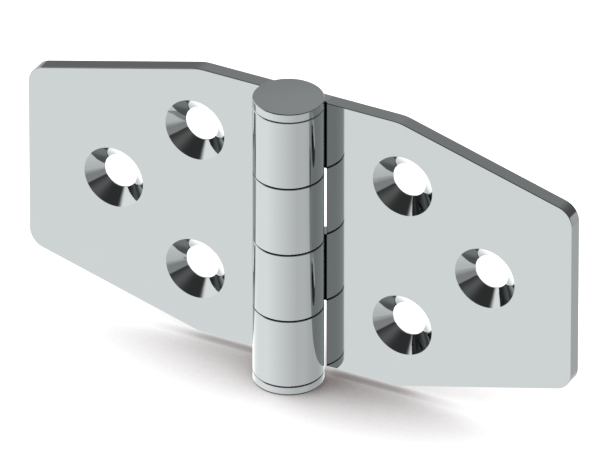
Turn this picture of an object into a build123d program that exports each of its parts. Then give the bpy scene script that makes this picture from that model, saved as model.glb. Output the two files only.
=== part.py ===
from build123d import *
from math import acos, asin, atan2, degrees, hypot, radians, sqrt, tan
import os

# Leaf hinge, open flat: two tapered leaves turn on one capped pin.
# The pin's axis is Z and the foot of the lower cap is Z = 0. The leaves spread
# along X, and their fronts, with the countersinks, face -Y. Sizes are in mm.

# Barrel: the knuckles and the two end caps share one diameter
barrel_height = 80.0
barrel_dia = 17.6
cap_thickness = 2.3
cap_seam = 0.15  # fine joint between a cap and the knuckle beside it
knuckle_count = 4  # from the top: right, left, right, left
knuckle_gap = 0.3

# Leaves
leaf_reach = 75.15  # from the pin's axis to a free edge
leaf_thickness = 4.0
taper_start = 27.7  # distance from the axis where a leaf begins to narrow
taper_angle = 15.0
shoulder_radius = 10.0  # where the straight edge turns into the taper
corner_radius = 5.0  # at the free edge
back_relief = 0.4  # the backs stand this far behind the barrel, to bear on a wall
back_ramp_start = 5.0  # from here the back slopes in until it meets the barrel
notch_clearance = 0.5  # from the other leaf's knuckles to the leaf's front corner beside them
web_overlap = 2.0  # how far each knuckle's web runs on inside the plate
edge_break = 0.2  # rounding of the outer edges

# Screw holes in each leaf: two in line beside the barrel and one further out
screw_hole_dia = 9.0
countersink_dia = 16.35
countersink_angle = 90.0
near_holes_from_axis = 28.7
near_holes_spacing = 39.6
far_hole_from_axis = 51.4

# Pin, end caps and bushes
pin_dia = 9.0
pin_end_chamfer = 0.4
spigot_dia = 5.0
spigot_length = 5.0
spigot_chamfer = 0.4
spigot_bottom_gap = 0.5
running_clearance = 0.05  # radial, between the pin and a bush
end_play = 0.05  # between a bush's flange and what it turns against
bush_wall = 1.0
bush_flange_dia = 14.0
bush_flange_thickness = 1.0
bush_flange_clearance = 0.1  # radial, between the flange and its counterbore
grease_gap = 2.5  # between the two bushes inside one knuckle

# Worked out from the sizes above
barrel_radius = barrel_dia / 2
stack_foot = cap_thickness + cap_seam
stack_height = barrel_height - 2 * stack_foot
mid_height = barrel_height / 2
knuckle_pitch = (stack_height + knuckle_gap) / knuckle_count
knuckle_length = knuckle_pitch - knuckle_gap
leaf_back = barrel_radius + back_relief
leaf_front = leaf_back - leaf_thickness
notch_from_axis = sqrt((barrel_radius + notch_clearance) ** 2 - leaf_front**2)
free_edge_height = stack_height - 2 * (leaf_reach - taper_start) * tan(radians(taper_angle))
pin_length = barrel_height - 2 * cap_thickness
bush_bore_dia = pin_dia + 2 * running_clearance
bush_dia = bush_bore_dia + 2 * bush_wall
bush_length = (knuckle_length - grease_gap) / 2 + knuckle_gap - end_play


def knuckle_foot(place):
    """Height of a knuckle's lower end; place counts down from the top, from 0."""
    return stack_foot + (knuckle_count - 1 - place) * knuckle_pitch


def flange_rise(gap):
    """How far a bush's flange stands out of its knuckle into the gap beside it."""
    return gap - end_play


# Each end of each bushed knuckle: its height, the way it faces and the gap beside it
right_places = range(0, knuckle_count, 2)
left_places = range(1, knuckle_count, 2)
bush_ends = []
for place in right_places:
    gap_above = cap_seam if place == 0 else knuckle_gap
    gap_below = cap_seam if place == knuckle_count - 1 else knuckle_gap
    bush_ends.append((knuckle_foot(place) + knuckle_length, 1, gap_above))
    bush_ends.append((knuckle_foot(place), -1, gap_below))

# Section of a knuckle with its web, seen along the axis with the leaf towards +X:
# the back ramp leaves the barrel along a tangent, and the leaf's front meets the
# barrel in a sharp root
ramp_foot_turn = degrees(
    atan2(leaf_back, back_ramp_start)
    + acos(barrel_radius / hypot(back_ramp_start, leaf_back))
)
root_turn = degrees(asin(leaf_front / barrel_radius))
web_end = notch_from_axis + web_overlap

os.makedirs("parts", exist_ok=True)

# One knuckle with its web, standing on Z = 0, as on the right leaf
with BuildPart() as knuckle:
    with BuildSketch():
        with BuildLine():
            barrel_arc = CenterArc(
                (0, 0), barrel_radius, ramp_foot_turn, 360 + root_turn - ramp_foot_turn
            )
            Polyline(
                barrel_arc @ 0,
                (back_ramp_start, leaf_back),
                (web_end, leaf_back),
                (web_end, leaf_front),
                barrel_arc @ 1,
            )
        make_face()
    extrude(amount=knuckle_length)
    fillet(knuckle.faces().filter_by(Axis.Z).edges(), radius=edge_break)

# One plate with its countersunk holes, as on the right leaf: full height beside
# the barrel, then tapered to the free edge. Its straight inner end stands clear
# of the other leaf's knuckles, and the webs bridge to its own
front = Plane((0, leaf_front, mid_height), x_dir=(1, 0, 0), z_dir=(0, -1, 0))
with BuildPart() as plate:
    with BuildSketch(front) as outline:
        with BuildLine():
            Polyline(
                (notch_from_axis, -stack_height / 2),
                (taper_start, -stack_height / 2),
                (leaf_reach, -free_edge_height / 2),
                (leaf_reach, free_edge_height / 2),
                (taper_start, stack_height / 2),
                (notch_from_axis, stack_height / 2),
                close=True,
            )
        make_face()
        # Each rounding renews the outline, so its corners are chosen afresh: from the
        # barrel outwards come the inner corners, the shoulders and the free corners
        fillet(outline.vertices().group_by(Axis.X)[-1], radius=corner_radius)
        fillet(outline.vertices().group_by(Axis.X)[1], radius=shoulder_radius)
    extrude(amount=-leaf_thickness)
    fillet(plate.faces().filter_by(Axis.Y).edges(), radius=edge_break)
    with Locations(front):
        with Locations(
            (near_holes_from_axis, near_holes_spacing / 2),
            (near_holes_from_axis, -near_holes_spacing / 2),
            (far_hole_from_axis, 0),
        ):
            CounterSinkHole(
                radius=screw_hole_dia / 2,
                counter_sink_radius=countersink_dia / 2,
                counter_sink_angle=countersink_angle,
            )

# Left leaf: its knuckles are bored to hold the pin fast
with BuildPart() as left_leaf:
    mirror(plate.part, about=Plane.YZ)
    with Locations([(0, 0, knuckle_foot(place)) for place in left_places]):
        add(mirror(knuckle.part, about=Plane.YZ, mode=Mode.PRIVATE))
    with Locations((0, 0, mid_height)):
        Hole(radius=pin_dia / 2)
left_leaf.part.label = "left_leaf"
export_step(left_leaf.part, "parts/left_leaf.step")

# Right leaf: its knuckles are bored for the bushes and recessed for their flanges
with BuildPart() as right_leaf:
    add(plate.part)
    with Locations([(0, 0, knuckle_foot(place)) for place in right_places]):
        add(knuckle.part)
    with Locations((0, 0, mid_height)):
        Hole(radius=bush_dia / 2)
    for height, facing, gap in bush_ends:
        with BuildSketch(Plane((0, 0, height), z_dir=(0, 0, facing))):
            Circle(radius=bush_flange_dia / 2 + bush_flange_clearance)
        extrude(amount=flange_rise(gap) - bush_flange_thickness, mode=Mode.SUBTRACT)
right_leaf.part.label = "right_leaf"
export_step(right_leaf.part, "parts/right_leaf.step")

# Bushes: plain sleeves with a thrust flange, numbered from the top
for number, (height, facing, gap) in enumerate(bush_ends, start=1):
    flange_face = Plane((0, 0, height + facing * flange_rise(gap)), z_dir=(0, 0, facing))
    with BuildPart() as bush:
        with BuildSketch(flange_face):
            Circle(radius=bush_flange_dia / 2)
        extrude(amount=-bush_flange_thickness)
        with BuildSketch(flange_face):
            Circle(radius=bush_dia / 2)
        extrude(amount=-bush_length)
        with Locations(flange_face):
            Hole(radius=bush_bore_dia / 2)
    bush.part.label = f"bush_{number}"
    export_step(bush.part, f"parts/bush_{number}.step")

# Pin: pressed into the left leaf, with a socket in each end for a cap's spigot
with BuildPart() as hinge_pin:
    with BuildSketch(Plane.XY.offset(cap_thickness)):
        Circle(radius=pin_dia / 2)
    extrude(amount=pin_length)
    chamfer(hinge_pin.edges(), length=pin_end_chamfer)
    for facing in (-1, 1):
        end_height = mid_height + facing * pin_length / 2
        with BuildSketch(Plane((0, 0, end_height), z_dir=(0, 0, facing))):
            Circle(radius=spigot_dia / 2)
        extrude(amount=-spigot_length - spigot_bottom_gap, mode=Mode.SUBTRACT)
hinge_pin.part.label = "hinge_pin"
export_step(hinge_pin.part, "parts/hinge_pin.step")

# End caps: discs as wide as the barrel, each seated on the pin's end by its spigot
with BuildPart() as bottom_cap:
    with BuildSketch():
        Circle(radius=barrel_radius)
    extrude(amount=cap_thickness)
    fillet(bottom_cap.edges().filter_by(GeomType.CIRCLE), radius=edge_break)
    with BuildSketch(Plane.XY.offset(cap_thickness)):
        Circle(radius=spigot_dia / 2)
    extrude(amount=spigot_length)
    chamfer(bottom_cap.edges().group_by(Axis.Z)[-1], length=spigot_chamfer)
bottom_cap.part.label = "bottom_cap"
export_step(bottom_cap.part, "parts/bottom_cap.step")

with BuildPart() as top_cap:
    mirror(bottom_cap.part, about=Plane.XY.offset(mid_height))
top_cap.part.label = "top_cap"
export_step(top_cap.part, "parts/top_cap.step")
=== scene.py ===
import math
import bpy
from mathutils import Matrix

bl_info = {
    "name": "Leaf Hinge",
    "version": (1, 0, 0),
    "blender": (4, 5, 0),
    "location": "3D View > Sidebar > Leaf Hinge",
    "description": "Finishes a polished leaf hinge and sets its studio stage",
    "category": "Object",
}

import bpy
from bpy.props import FloatProperty, FloatVectorProperty, PointerProperty
from bpy.types import Operator, Panel, PropertyGroup
from mathutils import Vector

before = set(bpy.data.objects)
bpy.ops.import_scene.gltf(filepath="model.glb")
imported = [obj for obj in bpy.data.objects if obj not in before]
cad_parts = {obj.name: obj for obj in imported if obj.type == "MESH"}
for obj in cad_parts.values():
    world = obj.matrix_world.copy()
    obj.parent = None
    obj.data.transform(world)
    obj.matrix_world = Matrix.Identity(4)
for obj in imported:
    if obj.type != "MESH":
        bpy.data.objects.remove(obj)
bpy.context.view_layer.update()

# Each leaf, and the side of the axis that it spreads to
LEAF_SIDES = {"left_leaf": -1.0, "right_leaf": 1.0}
CAP_NODES = ("top_cap", "bottom_cap")
PIN_NODES = ("hinge_pin",)
BUSH_NODES = tuple(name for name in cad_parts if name.startswith("bush_"))

# Places on the hinge that its finishes follow, in metres, as in the part's source
MID_HEIGHT = 0.040
BARREL_RADIUS = 0.0088
LEAF_FRONT = 0.0052
LEAF_BACK = 0.0092
LEAF_INNER_END = 0.0077
ROOT_FROM_AXIS = 0.0071
COUNTERSINK_RADIUS = 0.00818
NEAR_HOLES = (0.0287, 0.0198)  # from the axis, and up or down from the middle
FAR_HOLE = (0.0514, 0.0)

# Where the finishes change, in metres: the start and the end of each change
EDGE_BLEND = (0.00005, 0.0002)  # from a leaf's front or back into its cut edge
INNER_BLEND = (-0.0003, -0.0001)  # from the plate's inner end
# Painted shade: a leaf's front goes nearly black near the sharp root and near the front corner of
# the plate's inner end, where shade falls.
ROOT_SHADE = (0.00066, 0.00076)  # from the sharp root
INNER_END_SHADE = (0.00015, 0.00022)  # from the front corner of the plate's inner end
CAP_RIM = (-0.0001, -0.0003)  # from the barrel's radius onto a cap's end
# Painted shade: the lower cap's bottom rim is painted dark, as the floor's contact shadow
# mirrored in its side.
FOOT_SHADE = (0.00042, 0.00030)  # above the floor, on the lower cap's side

# The metals' texture
LINE_SPACING = 0.00015
LINE_STRETCH = (0.02, 0.02, 1.0)  # polishing lines are fine only along Z
CLOUD_SPACING = 0.015
CLOUD_RANGE = 0.015  # change of tone by clouds, either way
GRAIN_SPACING = 0.00012
GRAIN_HEIGHT = 0.00001
CAP_CROWN = -4.0  # a cap's height over its distance from the axis squared

# The surroundings: brightness, and turns and rises in degrees, as direction() takes them
FLOOR_BRIGHTNESS = 1.57
FLOOR_RING_SCALE = 1.167  # 1 over the cosine of the rise at which the ring was matched
FLOOR_GLOW = ((-135.0, -40.0), 0.84, 12.0)  # direction, strength and sharpness
WALL_BRIGHTNESS = 0.30
WALL_GLOW = ((40.0, 0.0), 0.30, 2.0)
WALL_BEHIND = 0.9
ROOM_GLOWS = (
    ((-159.0, 34.3), 0.44, 7.2),
    ((40.0, 30.0), 0.17, 19.0),
    ((-32.0, 28.0), 0.50, 80.0),
)
SOFT_BOX_BRIGHTNESS = 1.93
BACKDROP_BRIGHTNESS = 1.1  # what the camera sees past the floor

# The floor and the camera
FLOOR_LIGHT = 1.55
FLOOR_SHADE_TINT = (0.983, 1.0, 1.002)
SHADE_REACH = 0.045  # how near, in metres, the hinge darkens the floor
SHADE_TILT = (-0.2, 0.1, 1.0)
SHADE_STRENGTH = 1.3
SHADE_LIMIT = 0.92
VIEW_CENTRE = (0.00313, 0.0001, 0.04391)


class Socket:
    """A shader socket in Python arithmetic: each operator adds one Math node."""

    def __init__(self, graph, socket):
        self.graph = graph
        self.socket = socket

    def __add__(self, other):
        return self.graph.math("ADD", self, other)

    __radd__ = __add__

    def __sub__(self, other):
        return self.graph.math("SUBTRACT", self, other)

    def __rsub__(self, other):
        return self.graph.math("SUBTRACT", other, self)

    def __mul__(self, other):
        return self.graph.math("MULTIPLY", self, other)

    __rmul__ = __mul__

    def __pow__(self, other):
        return self.graph.math("POWER", self, other)


class Graph:
    """A node tree that is built from nothing by Python expressions."""

    def __init__(self, tree):
        self.tree = tree
        tree.nodes.clear()

    def node(self, kind, settings=None, inputs=None):
        """Adds a node: its settings are set first, then its sockets are given values or links."""
        added = self.tree.nodes.new(kind)
        for name, value in (settings or {}).items():
            setattr(added, name, value)
        for name, value in (inputs or {}).items():
            if isinstance(value, Socket):
                self.tree.links.new(value.socket, added.inputs[name])
            else:
                added.inputs[name].default_value = value
        return [Socket(self, output) for output in added.outputs]

    def math(self, operation, *values):
        """A Math node on one, two or three values."""
        return self.node("ShaderNodeMath", {"operation": operation}, dict(enumerate(values)))[0]

    def step(self, value, start, end):
        """Smooth change from 0 to 1 as the value goes from start to end."""
        settings = {"interpolation_type": "SMOOTHSTEP"}
        return self.node("ShaderNodeMapRange", settings, {0: value, 1: start, 2: end})[0]

    def ramp(self, value, start, end):
        """Even change from 0 to 1 as the value goes from start to end."""
        return self.node("ShaderNodeMapRange", {}, {0: value, 1: start, 2: end})[0]

    def between(self, first, second, share):
        """Blend of two numbers: first at share 0, second at share 1."""
        return self.node("ShaderNodeMix", {}, {0: share, 2: first, 3: second})[0]

    def length(self, first, second):
        """Length of the sides' diagonal: the root of the sum of their squares."""
        sides = self.node("ShaderNodeCombineXYZ", {}, {0: first, 1: second})[0]
        return self.node("ShaderNodeVectorMath", {"operation": "LENGTH"}, {0: sides})[1]

    def place(self):
        """The point's object coordinates, in metres: as one vector, then x, y and z."""
        point = self.node("ShaderNodeTexCoord")[3]
        return [point] + self.node("ShaderNodeSeparateXYZ", {}, {"Vector": point})

    def noise(self, vector, spacing, detail):
        """Even noise from 0 to 1, with spots about as wide as the spacing, in metres."""
        inputs = {"Vector": vector, "Scale": 1.0 / spacing, "Detail": detail}
        return self.node("ShaderNodeTexNoise", {}, inputs)[0]


class HingeFinish(PropertyGroup):
    """Colours and finishes of the hinge's metals and bushes."""

    steel_colour: FloatVectorProperty(
        name="Steel colour",
        description="Reflectance of the polished steel",
        subtype="COLOR",
        size=3,
        min=0.0,
        max=1.0,
        default=(0.341, 0.360, 0.364),
    )
    steel_roughness: FloatProperty(
        name="Steel roughness",
        description="Roughness of the polished steel",
        subtype="FACTOR",
        min=0.0,
        max=1.0,
        default=0.045,
    )
    edge_tone: FloatProperty(
        name="Edge tone",
        description="Brightness of the leaves' cut edges against their polished faces",
        subtype="FACTOR",
        min=0.0,
        max=1.0,
        default=0.845,
    )
    polish_depth: FloatProperty(
        name="Polish depth",
        description="Depth of the fine lines that polishing leaves",
        unit="LENGTH",
        min=0.0,
        precision=7,
        default=0.0000005,
    )
    pin_roughness: FloatProperty(
        name="Pin roughness",
        description="Roughness of the ground pin",
        subtype="FACTOR",
        min=0.0,
        max=1.0,
        default=0.28,
    )
    bush_colour: FloatVectorProperty(
        name="Bush colour",
        description="Colour of the black polymer bushes",
        subtype="COLOR",
        size=3,
        min=0.0,
        max=1.0,
        default=(0.012, 0.012, 0.013),
    )
    bush_roughness: FloatProperty(
        name="Bush roughness",
        description="Roughness of the moulded bushes",
        subtype="FACTOR",
        min=0.0,
        max=1.0,
        default=0.55,
    )


class HingeStage(PropertyGroup):
    """Where the camera stands and how the studio is lit."""

    camera_azimuth: FloatProperty(
        name="Camera azimuth",
        description="Turn of the camera from the front towards the right leaf",
        subtype="ANGLE",
        default=math.radians(27.9),
    )
    camera_elevation: FloatProperty(
        name="Camera elevation",
        description="Angle of the camera above the floor",
        subtype="ANGLE",
        default=math.radians(31.0),
    )
    camera_lens: FloatProperty(
        name="Camera lens",
        description="Focal length; a long one gives an almost parallel view",
        unit="CAMERA",
        default=1200.0,
    )
    view_width: FloatProperty(
        name="View width",
        description="Width of the picture at the hinge",
        unit="LENGTH",
        default=0.14669,
    )
    overhead_power: FloatProperty(
        name="Overhead power",
        description="Power of the soft light above the hinge, in watts",
        min=0.0,
        default=60.0,
    )


def new_material(name):
    """A material with an empty node tree, and the graph that fills it."""
    material = bpy.data.materials.new(name)
    material.use_nodes = True
    return material, Graph(material.node_tree)


def finish_steel(graph, tone, roughness, height):
    """Ends a steel material: its colour is the steel's, times a tone that varies a little by
    broad soft clouds, and its reflection hardly rises at grazing angles."""
    colour = bpy.context.scene.hinge_finish.steel_colour
    cloud = graph.noise(graph.place()[0], CLOUD_SPACING, 3.0)
    steel = graph.node(
        "ShaderNodeMix",
        {"data_type": "RGBA"},
        {
            0: cloud,
            6: tuple((1.0 - CLOUD_RANGE) * c for c in colour) + (1.0,),
            7: tuple((1.0 + CLOUD_RANGE) * c for c in colour) + (1.0,),
        },
    )[2]
    toned = graph.node(
        "ShaderNodeVectorMath", {"operation": "SCALE"}, {0: steel, "Scale": tone}
    )[0]
    normal = graph.node("ShaderNodeBump", {}, {"Distance": 1.0, "Height": height})[0]
    shader = graph.node(
        "ShaderNodeBsdfPrincipled",
        {},
        {
            "Base Color": toned,
            "Metallic": 1.0,
            "Roughness": roughness + cloud * 0.01,
            "Specular Tint": (0.75, 0.75, 0.75, 1.0),
            "Normal": normal,
        },
    )[0]
    graph.node("ShaderNodeOutputMaterial", {}, {"Surface": shader})


def polish_lines(graph, point):
    """Fine level lines, much longer than they are far apart: they run round the barrel and
    along the leaves."""
    drawn = graph.node(
        "ShaderNodeVectorMath", {"operation": "MULTIPLY"}, {0: point, 1: LINE_STRETCH}
    )[0]
    return graph.noise(drawn, LINE_SPACING, 2.0)


def cut_edges(graph, across, up, y):
    """Mask of a leaf's cut edges: 1 on the plate's sides, and 0 on its front and back, in
    its countersinks and on the knuckles."""
    near_hole = graph.length(across - NEAR_HOLES[0], up - NEAR_HOLES[1])
    far_hole = graph.length(across - FAR_HOLE[0], up - FAR_HOLE[1])
    nearest = graph.math("MINIMUM", near_hole, far_hole)
    start, end = EDGE_BLEND
    edge = graph.step(nearest, COUNTERSINK_RADIUS, COUNTERSINK_RADIUS + end)
    edge *= graph.step(across, LEAF_INNER_END + INNER_BLEND[0], LEAF_INNER_END + INNER_BLEND[1])
    edge *= graph.step(y, LEAF_FRONT + start, LEAF_FRONT + end)
    return edge * graph.step(y, LEAF_BACK - start, LEAF_BACK - end)


def painted_shade_factor(graph, across, y):
    """Factor of painted shade on a leaf's front: 0 at the sharp root where the front meets the
    barrel, a tenth at the front corner of the plate's inner end, and 1 elsewhere. The leaf's
    colour is darkened by it, as the shade that falls in the root and in the gap by the inner end."""
    from_root = graph.length(across - ROOT_FROM_AXIS, y - LEAF_FRONT)
    from_inner_end = graph.length(across - LEAF_INNER_END, y - LEAF_FRONT)
    unshaded = graph.step(from_root, *ROOT_SHADE)
    return unshaded * (graph.step(from_inner_end, *INNER_END_SHADE) * 0.9 + 0.1)


def leaf_material(name, side):
    """Mirror polished leaf. Its cut edges are a shade darker. Its front carries painted shade:
    nearly black along the sharp root where it meets the barrel and at the front corner of the
    plate's inner end. The side is -1 or 1, towards -X or +X."""
    finish = bpy.context.scene.hinge_finish
    material, graph = new_material("polished_" + name)
    point, x, y, z = graph.place()
    across = x * side
    up = graph.math("ABSOLUTE", z - MID_HEIGHT)
    edge = cut_edges(graph, across, up, y)
    unshaded = painted_shade_factor(graph, across, y)

    tone = 1.0 - edge * (1.0 - finish.edge_tone)
    # Painted shade in the root and by the inner end: the colour drops almost to black there, and
    # the roughness rises.
    tone *= graph.between(0.01, 1.0, unshaded)
    roughness = finish.steel_roughness + edge * 0.03
    roughness += (1.0 - unshaded) * 0.4
    finish_steel(graph, tone, roughness, polish_lines(graph, point) * finish.polish_depth)
    return material


def cap_material():
    """Turned and polished caps, with faint rings on their slightly crowned ends. Painted shade: a
    dark line round the lower cap's bottom rim, standing for the floor's contact shadow mirrored
    in its side. Painted light: the ends are a shade brighter than the sides."""
    finish = bpy.context.scene.hinge_finish
    material, graph = new_material("polished_cap")
    point, x, y, z = graph.place()
    from_axis = graph.length(x, y)
    end = graph.step(from_axis, BARREL_RADIUS + CAP_RIM[0], BARREL_RADIUS + CAP_RIM[1])
    outward = graph.node("ShaderNodeCombineXYZ", {}, {0: from_axis})[0]
    rings = graph.noise(outward, LINE_SPACING, 2.0)
    lines = graph.between(polish_lines(graph, point), rings, end)
    crown = from_axis * from_axis * CAP_CROWN
    # Painted shade: the lower cap's bottom rim goes dark, as a mirrored contact shadow.
    foot_shade = graph.step(z, *FOOT_SHADE) * (1.0 - end)
    # Painted light: the ends are made a shade brighter than the sides.
    tone = 1.0 - foot_shade * 0.9 + end * 0.04
    roughness = finish.steel_roughness + end * rings * 0.02
    finish_steel(graph, tone, roughness, lines * finish.polish_depth + crown)
    return material


def pin_material():
    """Ground steel pin, with fine rings left by the wheel."""
    finish = bpy.context.scene.hinge_finish
    material, graph = new_material("ground_pin")
    point = graph.place()[0]
    lines = polish_lines(graph, point)
    depth = 4.0 * finish.polish_depth
    finish_steel(graph, 0.9 + lines * 0.15, finish.pin_roughness + lines * 0.05, lines * depth)
    return material


def bush_material():
    """Black polymer, moulded with a fine matt grain that is a little lighter on its peaks."""
    finish = bpy.context.scene.hinge_finish
    material, graph = new_material("black_polymer")
    grain = graph.noise(graph.place()[0], GRAIN_SPACING, 3.0)
    colour = graph.node(
        "ShaderNodeMix",
        {"data_type": "RGBA"},
        {
            0: grain,
            6: tuple(0.8 * c for c in finish.bush_colour) + (1.0,),
            7: tuple(1.3 * c for c in finish.bush_colour) + (1.0,),
        },
    )[2]
    bump = {"Distance": 1.0, "Height": grain * GRAIN_HEIGHT}
    normal = graph.node("ShaderNodeBump", {}, bump)[0]
    shader = graph.node(
        "ShaderNodeBsdfPrincipled",
        {},
        {
            "Base Color": colour,
            "Roughness": finish.bush_roughness + grain * 0.1,
            "Normal": normal,
        },
    )[0]
    graph.node("ShaderNodeOutputMaterial", {}, {"Surface": shader})
    return material


def give_material(node_names, material):
    """Puts one material in every slot of the named CAD nodes."""
    for name in node_names:
        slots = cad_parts[name].data.materials
        slots.clear()
        slots.append(material)


class HINGE_OT_leaves(Operator):
    """Gives the two leaves their polished steel"""

    bl_idname = "hinge.leaves"
    bl_label = "Polished Leaves"

    def execute(self, context):
        for name, side in LEAF_SIDES.items():
            give_material((name,), leaf_material(name, side))
        return {"FINISHED"}


class HINGE_OT_caps(Operator):
    """Gives the end caps their turned and polished steel"""

    bl_idname = "hinge.caps"
    bl_label = "Polished Caps"

    def execute(self, context):
        give_material(CAP_NODES, cap_material())
        return {"FINISHED"}


class HINGE_OT_pin(Operator):
    """Gives the pin its ground steel"""

    bl_idname = "hinge.pin"
    bl_label = "Ground Pin"

    def execute(self, context):
        give_material(PIN_NODES, pin_material())
        return {"FINISHED"}


class HINGE_OT_bushes(Operator):
    """Gives the bushes their black polymer"""

    bl_idname = "hinge.bushes"
    bl_label = "Black Bushes"

    def execute(self, context):
        give_material(BUSH_NODES, bush_material())
        return {"FINISHED"}


def direction(turn, rise):
    """Unit vector to a place in the surroundings: turn is from the front (-Y) towards +X,
    rise is above the horizon, both in degrees."""
    turn, rise = math.radians(turn), math.radians(rise)
    return (math.sin(turn) * math.cos(rise), -math.cos(turn) * math.cos(rise), math.sin(rise))


def glow(graph, toward, strength, sharpness):
    """A round soft glow about one direction: strength times the cosine of the angle to it,
    raised to a power that sets how sharp it is."""
    view = graph.node("ShaderNodeTexCoord")[0]
    facing = graph.node(
        "ShaderNodeVectorMath", {"operation": "DOT_PRODUCT"}, {0: view, 1: direction(*toward)}
    )[1]
    return graph.math("MAXIMUM", facing, 0.0) ** sharpness * strength


def studio_world(context):
    """Surroundings that the steel mirrors, as a brightness for each direction: a lit floor
    below, whose far ring changes with the turn, a wall at the horizon that is brighter
    behind, a dark room above that is greyer behind, and a large soft box on the left."""
    world = bpy.data.worlds.new("studio")
    world.use_nodes = True
    context.scene.world = world
    graph = Graph(world.node_tree)
    view = graph.node("ShaderNodeTexCoord")[0]
    x, y, z = graph.node("ShaderNodeSeparateXYZ", {}, {"Vector": view})
    rise = graph.math("DEGREES", graph.math("ARCSINE", z))
    turn = graph.math("DEGREES", graph.math("ARCTAN2", x, y * -1.0))

    around = 1.93 - graph.ramp(turn, -45.0, 55.0) * 0.73 - graph.step(turn, 74.0, 114.0) * 0.17
    around += graph.ramp(turn, 140.0, 180.0) * 0.39
    around -= graph.ramp(turn, -142.0, -180.0) * 0.51
    outward = graph.math("SQRT", 1.0 - z * z) * FLOOR_RING_SCALE
    floor = FLOOR_BRIGHTNESS + (around - FLOOR_BRIGHTNESS) * outward + glow(graph, *FLOOR_GLOW)
    wall = WALL_BRIGHTNESS + glow(graph, *WALL_GLOW) + graph.step(y, 0.2, 0.9) * WALL_BEHIND
    room = graph.step(y, -0.3, 0.3) * 0.13 + 0.07
    for room_glow in ROOM_GLOWS:
        room += glow(graph, *room_glow)

    above_floor = graph.step(rise, -31.5, -12.0)
    above_wall = graph.step(rise, 3.0, 8.0)
    radiance = graph.between(floor, wall, above_floor)
    radiance = graph.between(radiance, room, above_wall)
    soft_box = graph.step(turn, -42.0, -66.0) * graph.step(turn, -124.0, -110.0)
    soft_box *= graph.step(rise, 45.5, 34.0)
    soft_box *= graph.step(rise, -33.0, -12.0)
    radiance = graph.between(radiance, SOFT_BOX_BRIGHTNESS, soft_box)

    seen = graph.node("ShaderNodeLightPath")[0]
    strength = graph.between(radiance, BACKDROP_BRIGHTNESS, seen)
    surroundings = graph.node(
        "ShaderNodeBackground", {}, {"Color": (1.0, 1.0, 1.0, 1.0), "Strength": strength}
    )[0]
    graph.node("ShaderNodeOutputWorld", {}, {"Surface": surroundings})


def overhead_light(context):
    """One large soft light above the hinge, for what isn't mirror bright."""
    light = bpy.data.lights.new("overhead", "AREA")
    light.shape = "SQUARE"
    light.size = 0.8
    light.energy = context.scene.hinge_stage.overhead_power
    lamp = bpy.data.objects.new("overhead", light)
    lamp.location = (0.0, 0.0, 1.2)
    lamp.visible_glossy = False
    context.scene.collection.objects.link(lamp)


def studio_floor(context):
    """A plain white floor, darkened only where the hinge stands close above it. The steel
    doesn't mirror it: the surroundings hold its reflection."""
    half = 3.0
    mesh = bpy.data.meshes.new("floor")
    mesh.from_pydata(
        [(-half, -half, 0.0), (half, -half, 0.0), (half, half, 0.0), (-half, half, 0.0)],
        [],
        [(0, 1, 2, 3)],
    )
    floor = bpy.data.objects.new("floor", mesh)
    context.scene.collection.objects.link(floor)
    material, graph = new_material("floor_white")
    tilt = Vector(SHADE_TILT).normalized()
    tilted = graph.node("ShaderNodeCombineXYZ", {}, {0: tilt.x, 1: tilt.y, 2: tilt.z})[0]
    openness = graph.node(
        "ShaderNodeAmbientOcclusion",
        {"samples": 16},
        {"Distance": SHADE_REACH, "Normal": tilted},
    )[1]
    shade = graph.math("MINIMUM", (1.0 - openness) * SHADE_STRENGTH, SHADE_LIMIT)
    red, green, blue = ((1.0 - shade * depth) * FLOOR_LIGHT for depth in FLOOR_SHADE_TINT)
    light = graph.node("ShaderNodeCombineColor", {}, {0: red, 1: green, 2: blue})[0]
    shader = graph.node("ShaderNodeEmission", {}, {"Color": light})[0]
    graph.node("ShaderNodeOutputMaterial", {}, {"Surface": shader})
    mesh.materials.append(material)
    floor.visible_glossy = False


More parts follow.
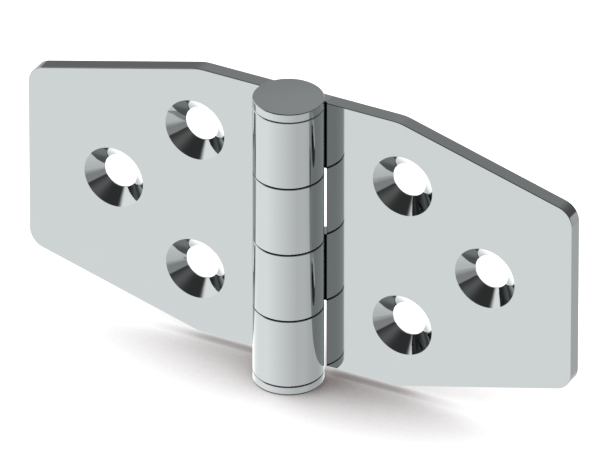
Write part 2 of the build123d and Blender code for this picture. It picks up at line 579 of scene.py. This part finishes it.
def studio_camera(context):
    """A camera at the photograph's viewing angle: far off, with a long lens, so that the
    view is almost parallel."""
    stage = context.scene.hinge_stage
    data = bpy.data.cameras.new("camera")
    data.lens = stage.camera_lens
    data.sensor_width = 36.0
    distance = stage.view_width * data.lens / data.sensor_width
    outward = Vector(
        (
            math.sin(stage.camera_azimuth) * math.cos(stage.camera_elevation),
            -math.cos(stage.camera_azimuth) * math.cos(stage.camera_elevation),
            math.sin(stage.camera_elevation),
        )
    )
    data.clip_start = 0.1
    data.clip_end = 20.0
    camera = bpy.data.objects.new("camera", data)
    camera.location = Vector(VIEW_CENTRE) + distance * outward
    camera.rotation_euler = outward.to_track_quat("Z", "Y").to_euler()
    context.scene.collection.objects.link(camera)
    context.scene.camera = camera


class HINGE_OT_stage(Operator):
    """Sets the floor, lights, surroundings and camera"""

    bl_idname = "hinge.stage"
    bl_label = "Studio Stage"

    def execute(self, context):
        studio_world(context)
        overhead_light(context)
        studio_floor(context)
        studio_camera(context)
        context.scene.view_settings.view_transform = "Standard"
        return {"FINISHED"}


class HINGE_PT_panel(Panel):
    """Lists the hinge's settings and operators"""

    bl_idname = "HINGE_PT_panel"
    bl_label = "Leaf Hinge"
    bl_space_type = "VIEW_3D"
    bl_region_type = "UI"
    bl_category = "Leaf Hinge"

    def draw(self, context):
        for group in (context.scene.hinge_finish, context.scene.hinge_stage):
            for name in group.__annotations__:
                self.layout.prop(group, name)
        for operator in OPERATORS:
            self.layout.operator(operator.bl_idname)


OPERATORS = (HINGE_OT_leaves, HINGE_OT_caps, HINGE_OT_pin, HINGE_OT_bushes, HINGE_OT_stage)
CLASSES = (HingeFinish, HingeStage) + OPERATORS + (HINGE_PT_panel,)


def register():
    for cls in CLASSES:
        bpy.utils.register_class(cls)
    bpy.types.Scene.hinge_finish = PointerProperty(type=HingeFinish)
    bpy.types.Scene.hinge_stage = PointerProperty(type=HingeStage)


def unregister():
    del bpy.types.Scene.hinge_stage
    del bpy.types.Scene.hinge_finish
    for cls in reversed(CLASSES):
        bpy.utils.unregister_class(cls)


def main():
    register()
    bpy.ops.hinge.leaves()
    bpy.ops.hinge.caps()
    bpy.ops.hinge.pin()
    bpy.ops.hinge.bushes()
    bpy.ops.hinge.stage()


if __name__ == "__main__":
    main()
